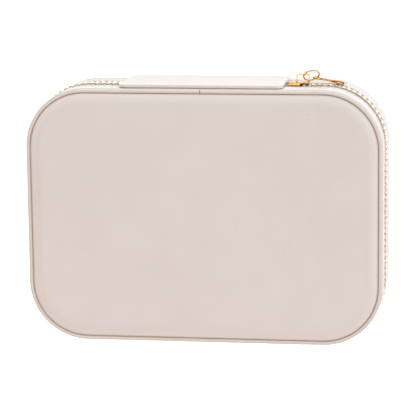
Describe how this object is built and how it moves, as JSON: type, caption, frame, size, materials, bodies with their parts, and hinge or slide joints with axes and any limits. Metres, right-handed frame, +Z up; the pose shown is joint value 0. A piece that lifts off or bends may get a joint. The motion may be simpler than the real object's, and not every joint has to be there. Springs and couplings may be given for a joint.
{
  "type": "jewelry box",
  "caption": "Zip-around travel jewelry case in beige synthetic leather: padded lid on a spine hinge, ring rolls, trays, lid pocket and necklace straps.",
  "frame": {"origin": "centre of the bottom panel, on the table", "axes": "+X along the width, +Y towards the spine hinge, the case opens at -Y, +Z up through the lid"},
  "size_m": [0.16, 0.1215, 0.0408],
  "materials": {
    "leather": "fine pebbled synthetic leather, nude beige, soft satin",
    "piping": "rolled synthetic leather cord edge, satin",
    "board": "grey pressed fibre board, hidden inside the walls",
    "foam": "white open foam pad, hidden under the panels",
    "velvet": "short-pile beige velvet",
    "pocket_velvet": "soft gathered velvet cloth",
    "strap_velvet": "stitched velvet strap",
    "elastic": "ribbed elastic band",
    "zip_tape": "woven beige zip tape",
    "zip_metal": "polished pale gold zip teeth",
    "pull_metal": "polished pale gold plating"
  },
  "bodies": {
    "base": {"base_shell": "board", "base_cover": "leather", "base_foam": "foam", "base_panel": "leather", "base_piping": "piping", "base_lining": "velvet", "base_zip_tape": "zip_tape", "base_zip_teeth": "zip_metal", "base_zip_end_teeth": "zip_metal", "base_zip_stops": "zip_metal", "ring_tray_wall": "velvet", "tray_cross_wall": "velvet", "tray_divider_1": "velvet", "tray_divider_2": "velvet", "spine_cover": "leather", "spine_lining": "velvet", "ring_roll_1": "velvet", "ring_roll_2": "velvet", "ring_roll_3": "velvet", "ring_roll_4": "velvet", "ring_roll_5": "velvet", "ring_roll_6": "velvet", "ring_roll_7": "velvet", "ring_roll_8": "velvet"},
    "lid": {"lid_shell": "board", "lid_cover": "leather", "lid_foam": "foam", "lid_panel": "leather", "lid_piping": "piping", "lid_lining": "velvet", "lid_zip_tape": "zip_tape", "lid_zip_teeth": "zip_metal", "lid_zip_end_tape": "zip_tape", "lid_zip_end_teeth": "zip_metal", "lid_zip_stops": "zip_metal", "elastic_pocket": "pocket_velvet", "pocket_elastic": "elastic", "strap_anchor": "velvet", "snap_studs": "pull_metal"},
    "strap_1": {"necklace_strap_1": "strap_velvet", "snap_cap_1": "pull_metal"},
    "strap_2": {"necklace_strap_2": "strap_velvet", "snap_cap_2": "pull_metal"},
    "strap_3": {"necklace_strap_3": "strap_velvet", "snap_cap_3": "pull_metal"},
    "slider": {"slider_body": "pull_metal", "slider_bridge": "pull_metal"},
    "ring": {"pull_ring": "pull_metal"},
    "tab": {"pull_tab": "pull_metal"}
  },
  "joints": [
    {"name": "lid_hinge", "type": "hinge", "parent": "base", "child": "lid", "pos_m": [0, 0.05775, 0.02], "axis": [-1, 0, 0], "range_deg": [0, 110], "deforming": ["spine_cover", "spine_lining", "lid_zip_end_tape", "lid_zip_end_teeth"]},
    {"name": "slider_travel", "type": "slide", "parent": "base", "child": "slider", "axis": [-1, 0, 0], "range_m": [-0.006, 0], "deforming": ["base_zip_end_teeth", "lid_zip_end_teeth"]},
    {"name": "ring_swing", "type": "hinge", "parent": "slider", "child": "ring", "pos_m": [0.043, 0.06005, 0.02], "axis": [0, 0, -1], "range_deg": [-130, 0]},
    {"name": "tab_swing", "type": "hinge", "parent": "ring", "child": "tab", "pos_m": [0.04837, 0.05974, 0.01757], "axis": [-0.7685, -0.5519, -0.3237], "range_deg": [-70, 0]},
    {"name": "strap_1_swing", "type": "hinge", "parent": "lid", "child": "strap_1", "pos_m": [0, -0.04685, 0.0342], "axis": [-1, 0, 0], "range_deg": [0, 100]},
    {"name": "strap_2_swing", "type": "hinge", "parent": "lid", "child": "strap_2", "pos_m": [0.023, -0.04685, 0.0342], "axis": [-1, 0, 0], "range_deg": [0, 100]},
    {"name": "strap_3_swing", "type": "hinge", "parent": "lid", "child": "strap_3", "pos_m": [0.046, -0.04685, 0.0342], "axis": [-1, 0, 0], "range_deg": [0, 100]}
  ]
}
